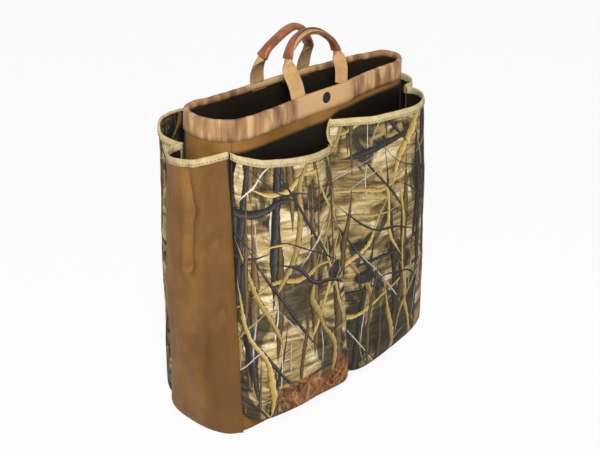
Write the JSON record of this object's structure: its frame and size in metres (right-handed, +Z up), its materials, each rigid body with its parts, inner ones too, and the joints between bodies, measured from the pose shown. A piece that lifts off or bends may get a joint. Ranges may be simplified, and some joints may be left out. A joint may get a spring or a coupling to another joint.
{
  "type": "field tote bag",
  "caption": "Tall flat soft tote with a banded mouth, a dark lining, long outside pockets, end pockets and two swinging carry handles.",
  "frame": {"origin": "on the ground under the middle of the bag", "axes": "+X along the bag to its right end, -Y towards the front pockets, +Z up"},
  "size_m": [0.4298, 0.1972, 0.5344],
  "materials": {
    "tan_nylon": "coyote-tan woven nylon with a slight sheen",
    "dark_lining": "near-black brown coated lining",
    "ribbed_band": "wide tan ribbed webbing",
    "tan_webbing": "tan nylon webbing",
    "cognac_leather": "cognac leather, dark stitched edges",
    "khaki_binding": "khaki binding tape with dark stitches",
    "reed_camo": null,
    "stiff_board": "plain black board",
    "black_snap": "black press fastener"
  },
  "bodies": {
    "bag": {"back_handle_left_tail": "tan_webbing", "back_handle_right_tail": "tan_webbing", "back_left_pocket": "reed_camo", "back_left_pocket_binding": "khaki_binding", "back_right_pocket": "reed_camo", "back_right_pocket_binding": "khaki_binding", "back_snap_cap": "black_snap", "back_snap_stud": "black_snap", "base_board": "stiff_board", "base_panel": "tan_nylon", "body_back_panel": "tan_nylon", "body_front_panel": "tan_nylon", "body_left_gusset": "tan_nylon", "body_right_gusset": "tan_nylon", "front_handle_left_tail": "tan_webbing", "front_handle_right_tail": "tan_webbing", "front_left_pocket": "reed_camo", "front_left_pocket_binding": "khaki_binding", "front_right_pocket": "reed_camo", "front_right_pocket_binding": "khaki_binding", "front_snap_cap": "black_snap", "front_snap_socket": "black_snap", "left_end_pocket": "tan_nylon", "left_end_pocket_binding": "khaki_binding", "lining": "dark_lining", "mouth_band": "ribbed_band", "right_end_pocket": "tan_nylon", "right_end_pocket_binding": "khaki_binding", "rim_facing": "ribbed_band"},
    "front_handle": {"front_handle_grip": "cognac_leather", "front_handle_webbing": "tan_webbing"},
    "back_handle": {"back_handle_grip": "cognac_leather", "back_handle_webbing": "tan_webbing"}
  },
  "joints": [
    {"name": "front_handle_swing", "type": "hinge", "parent": "bag", "child": "front_handle", "pos_m": [0, -0.0403, 0.45195], "axis": [1, 0, 0], "range_deg": [-8, 90]},
    {"name": "back_handle_swing", "type": "hinge", "parent": "bag", "child": "back_handle", "pos_m": [0, 0.0403, 0.45195], "axis": [-1, 0, 0], "range_deg": [-8, 90]}
  ]
}
